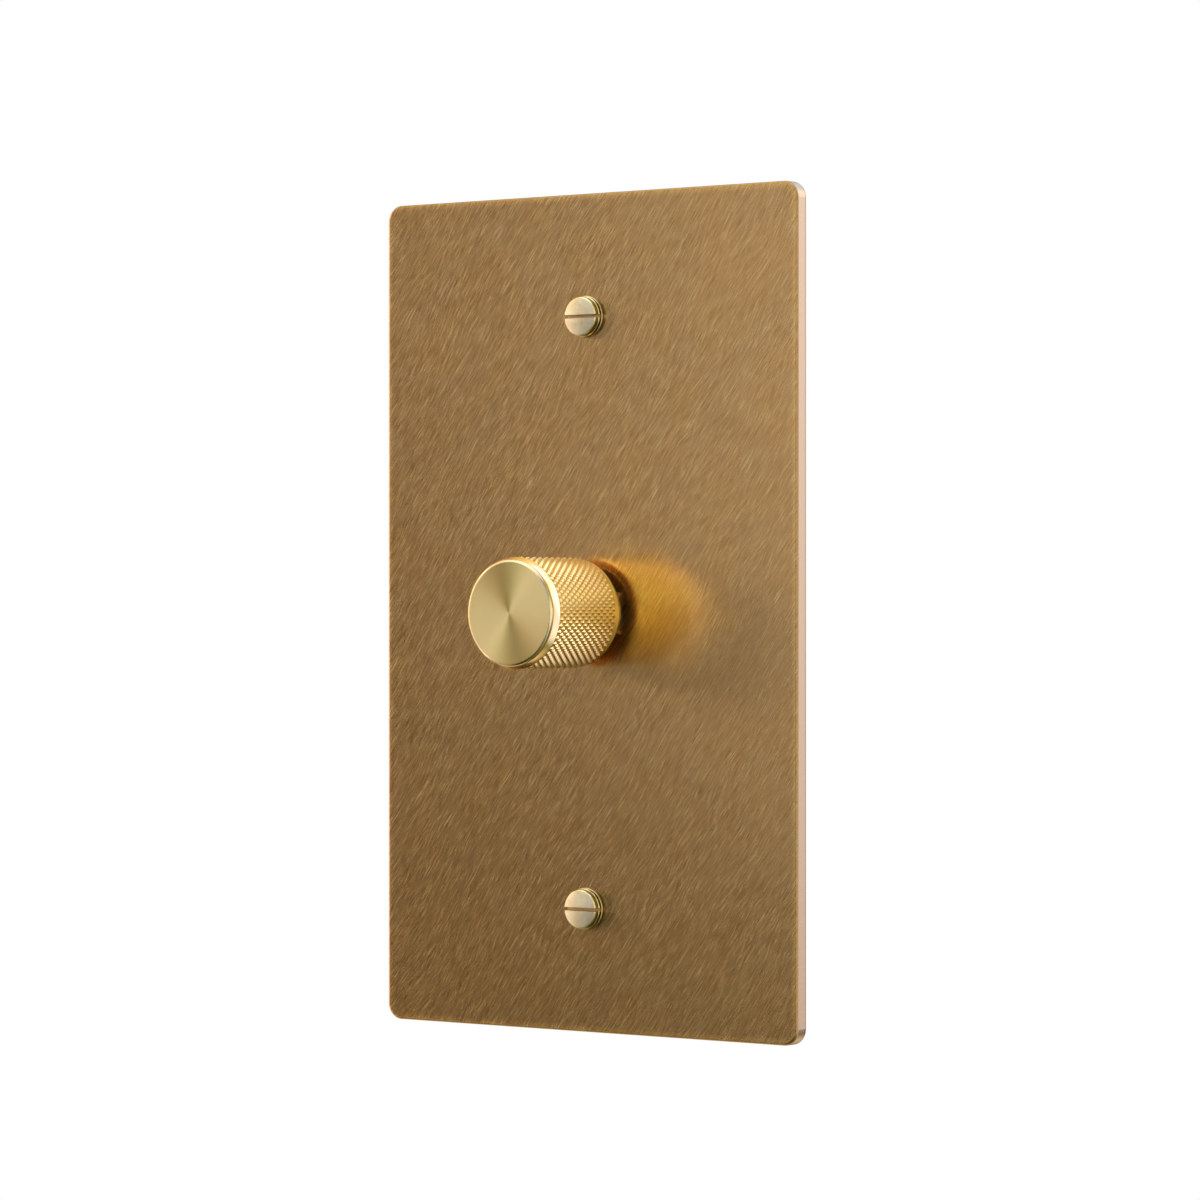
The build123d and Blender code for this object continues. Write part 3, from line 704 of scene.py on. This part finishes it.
# ---------------------------------------------------------------- earth stud
def build_stud():
    bm = bmesh.new()
    xc, zc, seg = 13.0, -33.0, 48

    def ring(r, y):
        out = []
        for i in range(seg):
            p = polar(r, TAU * i / seg, y)
            p.x += xc * MM
            p.z += zc * MM
            out.append(bm.verts.new(p))
        return out

    rings = [ring(r, y) for r, y in ((3.4, 0.0), (3.4, 0.75), (3.25, 0.9), (2.0, 0.9))]
    for a, b in zip(rings, rings[1:]):
        for i in range(seg):
            j = (i + 1) % seg
            bm.faces.new((a[i], a[j], b[j], b[i]))
    bm.faces.new(rings[0])
    first = threaded(bm, xc, zc, 2.0, 0.38, 0.7, 0.9, 9.0, 2.0, 1.5, seg=seg)
    bmesh.ops.remove_doubles(bm, verts=rings[-1] + first, dist=2e-6)
    return add_object("earth_stud_threaded", bm, [MAT["steel"]], "base", "earth_stud", 35)


stud = build_stud()


# -------------------------------------------------------------- return spring
def build_spring():
    bm = bmesh.new()
    y0, y1, r, wire, turns = 11.27, 14.53, 2.12, 0.25, 4.25
    steps, seg = 200, 10
    rows = []
    for k in range(steps + 1):
        t = k / steps
        a = TAU * turns * t
        # closed end coils: little rise over the first and last half turn
        rise = min(1.0, max(0.0, (t * turns - 0.4) / (turns - 0.8)))
        centre = Vector((r * math.cos(a), y0 + (y1 - y0) * rise, r * math.sin(a)))
        out = Vector((math.cos(a), 0, math.sin(a)))
        row = []
        for i in range(seg):
            b = TAU * i / seg
            row.append(bm.verts.new((centre + out * wire * math.cos(b) + Vector((0, wire * math.sin(b), 0))) * MM))
        rows.append(row)
    for a, b in zip(rows, rows[1:]):
        for i in range(seg):
            j = (i + 1) % seg
            bm.faces.new((a[i], a[j], b[j], b[i]))
    bm.faces.new(rows[0])
    bm.faces.new(rows[-1])
    o = add_object("return_spring_coil", bm, [MAT["spring"]], "base", "return_spring", 60)
    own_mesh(o)
    return o


spring = build_spring()

# ------------------------------------------------------------------ the stage
floor_mat = bpy.data.materials.new("floor_white")
floor_mat.use_nodes = True
ft = floor_mat.node_tree
ft.nodes.clear()
f_out = ft.nodes.new("ShaderNodeOutputMaterial")
f_emit = ft.nodes.new("ShaderNodeEmission")
f_emit.inputs[0].default_value = (1, 1, 1, 1)
f_emit.inputs[1].default_value = 1.0
ft.links.new(f_emit.outputs[0], f_out.inputs[0])
fb = bmesh.new()
bmesh.ops.create_circle(fb, cap_ends=True, segments=96, radius=3.0)
floor_me = bpy.data.meshes.new("floor")
fb.to_mesh(floor_me)
fb.free()
floor_me.materials.append(floor_mat)
floor = bpy.data.objects.new("floor", floor_me)
floor.location = (0, 0, -0.16)
scene.collection.objects.link(floor)
floor.visible_glossy = False
floor.visible_diffuse = False

# ------------------------------------------------------------------- the light
# A studio drawn in the world, as soft lights and flat panels. Angles are in degrees: azimuth 0 is straight in
# front of the plate and positive to its right, elevation is up. A soft light fades to nothing at its half angle.
SOFT_LIGHTS = [
    # azimuth, elevation, half angle, colour
    (126, 20, 40, (2.83, 2.83, 3.30)),
    (54, 0, 19, (1.82, 1.80, 1.59)),
    (-30, 55, 40, (1.42, 1.51, 1.54)),
    (108, -20, 40, (1.35, 1.24, 1.50)),
    (0, 90, 40, (0.93, 1.04, 1.29)),
    (37, 30, 19, (1.09, 1.14, 1.01)),
    (150, 55, 40, (0.71, 0.90, 1.42)),
    (-90, 20, 40, (1.33, 0.97, 0.64)),
    (20, 0, 19, (0.83, 0.91, 0.89)),
    (-120, -55, 40, (0.68, 0.74, 0.46)),
    (180, -55, 40, (0.82, 0.56, 0.41)),
    (-150, 55, 40, (0.44, 0.49, 0.64)),
    (54, -15, 19, (0.60, 0.61, 0.34)),
    (90, 55, 40, (0.68, 0.53, 0.20)),
    (20, -15, 19, (0.45, 0.48, 0.44)),
    (72, 15, 19, (0.57, 0.48, 0.22)),
    (20, 15, 19, (0.31, 0.42, 0.36)),
    (-72, -20, 40, (0.47, 0.35, 0.19)),
    (90, 30, 19, (0.39, 0.26, 0.36)),
    (180, -20, 40, (0.33, 0.33, 0.25)),
    (20, 30, 19, (0.25, 0.36, 0.30)),
    (54, 15, 19, (0.30, 0.35, 0.23)),
    (20, -30, 19, (0.25, 0.33, 0.28)),
    (120, -55, 40, (0.19, 0.23, 0.07)),
    (90, 15, 19, (0.20, 0.04, 0.11)),
    (-108, -20, 40, (0.08, 0.11, 0.12)),
    (180, 28, 40, (0.90, 0.95, 1.00)),
    (15, -55, 40, (0.20, 0.16, 0.08)),
]
PANELS = [
    # azimuth from, to, elevation from, to, colour
    (-80, -52, -50, -25, (0.03, 0.05, 0.10)),
    (-80, -52, -25, -12, (1.22, 1.12, 1.60)),
    (-80, -52, -12, -4, (0.99, 0.87, 1.27)),
    (-80, -52, -4, 4, (1.33, 1.20, 1.62)),
    (-80, -52, 4, 12, (2.25, 2.05, 2.61)),
    (-80, -52, 12, 25, (1.44, 1.26, 1.36)),
    (-80, -52, 25, 50, (0.06, 0.02, 0.03)),
    (-52, -45, -25, -12, (0.52, 0.51, 0.70)),
    (-52, -45, -12, -4, (0.27, 0.24, 0.42)),
    (-52, -45, 4, 12, (0.07, 0.05, 0.04)),
    (-52, -45, 12, 25, (0.73, 0.59, 0.49)),
    (-52, -45, 25, 50, (0.04, 0.03, 0.03)),
    (-45, -40, -25, -12, (0.53, 0.48, 0.54)),
    (-45, -40, 12, 25, (0.31, 0.23, 0.20)),
    (-40, -34, 12, 25, (0.06, 0.05, 0.05)),
    (-34, -29, -12, -4, (0.07, 0.09, 0.06)),
    (-34, -29, -4, 4, (1.24, 1.19, 1.65)),
    (-34, -29, 4, 12, (0.91, 0.93, 1.35)),
    (-34, -29, 12, 25, (0.58, 0.54, 0.78)),
    (-34, -29, 25, 50, (0.10, 0.12, 0.20)),
    (-29, -22, -12, -4, (0.42, 0.49, 0.67)),
    (-29, -22, -4, 4, (0.63, 0.78, 1.22)),
    (-29, -22, 4, 12, (1.23, 1.19, 1.68)),
    (-29, -22, 12, 25, (0.59, 0.56, 0.88)),
    (-29, -22, 25, 50, (0.03, 0.03, 0.14)),
    (-22, 5, -25, -12, (0.02, 0.02, 0.11)),
    (-22, 5, -12, -4, (0.07, 0.06, 0.33)),
    (-22, 5, -4, 4, (0.10, 0.11, 0.42)),
    (-22, 5, 4, 12, (0.68, 0.69, 1.10)),
    (-22, 5, 12, 25, (0.67, 0.68, 1.12)),
    (-22, 5, 25, 50, (0.06, 0.06, 0.29)),
]
world = bpy.data.worlds.new("studio")
scene.world = world
world.use_nodes = True
wt = world.node_tree
wt.nodes.clear()


def w_node(kind, **props):
    n = wt.nodes.new(kind)
    for k, v in props.items():
        setattr(n, k, v)
    return n


def w_math(op, a, b=0.0):
    n = w_node("ShaderNodeMath", operation=op)
    for s, v in zip(n.inputs, (a, b)):
        if isinstance(v, bpy.types.NodeSocket):
            wt.links.new(v, s)
        else:
            s.default_value = v
    return n.outputs[0]


def w_step(value, lo, hi):
    """Nothing under lo, one over hi, smooth between."""
    m = w_node("ShaderNodeMapRange", clamp=True)
    m.interpolation_type = "SMOOTHSTEP"
    wt.links.new(value, m.inputs["Value"])
    m.inputs["From Min"].default_value = lo
    m.inputs["From Max"].default_value = hi
    return m.outputs[0]


w_dir = w_node("ShaderNodeTexCoord").outputs["Generated"]
w_sep = w_node("ShaderNodeSeparateXYZ")
wt.links.new(w_dir, w_sep.inputs[0])
w_el = w_math("MULTIPLY", w_math("ARCSINE", w_sep.outputs[2]), 180 / math.pi)
w_az = w_math("MULTIPLY", w_math("ARCTAN2", w_sep.outputs[0], w_math("MULTIPLY", w_sep.outputs[1], -1.0)), 180 / math.pi)


def w_soft(az, el, half):
    a, e = math.radians(az), math.radians(el)
    n = w_node("ShaderNodeVectorMath", operation="DOT_PRODUCT")
    wt.links.new(w_dir, n.inputs[0])
    n.inputs[1].default_value = (math.cos(e) * math.sin(a), -math.cos(e) * math.cos(a), math.sin(e))
    return w_step(n.outputs["Value"], math.cos(math.radians(half)), 1.0)


w_spans = {}


def w_span(value, lo, hi, soft):
    """One between lo and hi, with soft ends. A span that panels share is drawn once."""
    key = (soft, lo, hi)
    if key not in w_spans:
        w_spans[key] = w_math("SUBTRACT", w_step(value, lo - soft, lo + soft), w_step(value, hi - soft, hi + soft))
    return w_spans[key]


def w_panel(az0, az1, el0, el1):
    return w_math("MULTIPLY", w_span(w_az, az0, az1, 3), w_span(w_el, el0, el1, 1.5))


lights = [(w_soft(*l[:3]), l[3]) for l in SOFT_LIGHTS] + [(w_panel(*l[:4]), l[4]) for l in PANELS]
glow = None
for amount, color in lights:
    n = w_node("ShaderNodeVectorMath", operation="SCALE")
    n.inputs[0].default_value = color
    wt.links.new(amount, n.inputs["Scale"])
    if glow is None:
        glow = n.outputs[0]
        continue
    add = w_node("ShaderNodeVectorMath", operation="ADD")
    wt.links.new(glow, add.inputs[0])
    wt.links.new(n.outputs[0], add.inputs[1])
    glow = add.outputs[0]
w_out = w_node("ShaderNodeOutputWorld")
w_path = w_node("ShaderNodeLightPath")
w_white = w_node("ShaderNodeBackground")
w_white.inputs[0].default_value = (1, 1, 1, 1)
w_white.inputs[1].default_value = 1.0
w_room = w_node("ShaderNodeBackground")
wt.links.new(glow, w_room.inputs[0])
w_mix = w_node("ShaderNodeMixShader")
wt.links.new(w_path.outputs["Is Camera Ray"], w_mix.inputs[0])
wt.links.new(w_room.outputs[0], w_mix.inputs[1])
wt.links.new(w_white.outputs[0], w_mix.inputs[2])
wt.links.new(w_mix.outputs[0], w_out.inputs[0])

# ------------------------------------------------------------------ the camera
cam = bpy.data.cameras.new("camera")
cam.sensor_width = 36.0
cam.sensor_fit = "HORIZONTAL"
cam.lens = 138.71
cam.clip_start = 0.01
cam_o = bpy.data.objects.new("camera", cam)
cam_o.location = (0.3912, -0.5221, 0.0018)
cam_o.rotation_euler = (math.pi / 2, 0, math.radians(36.78))
scene.collection.objects.link(cam_o)
scene.camera = cam_o
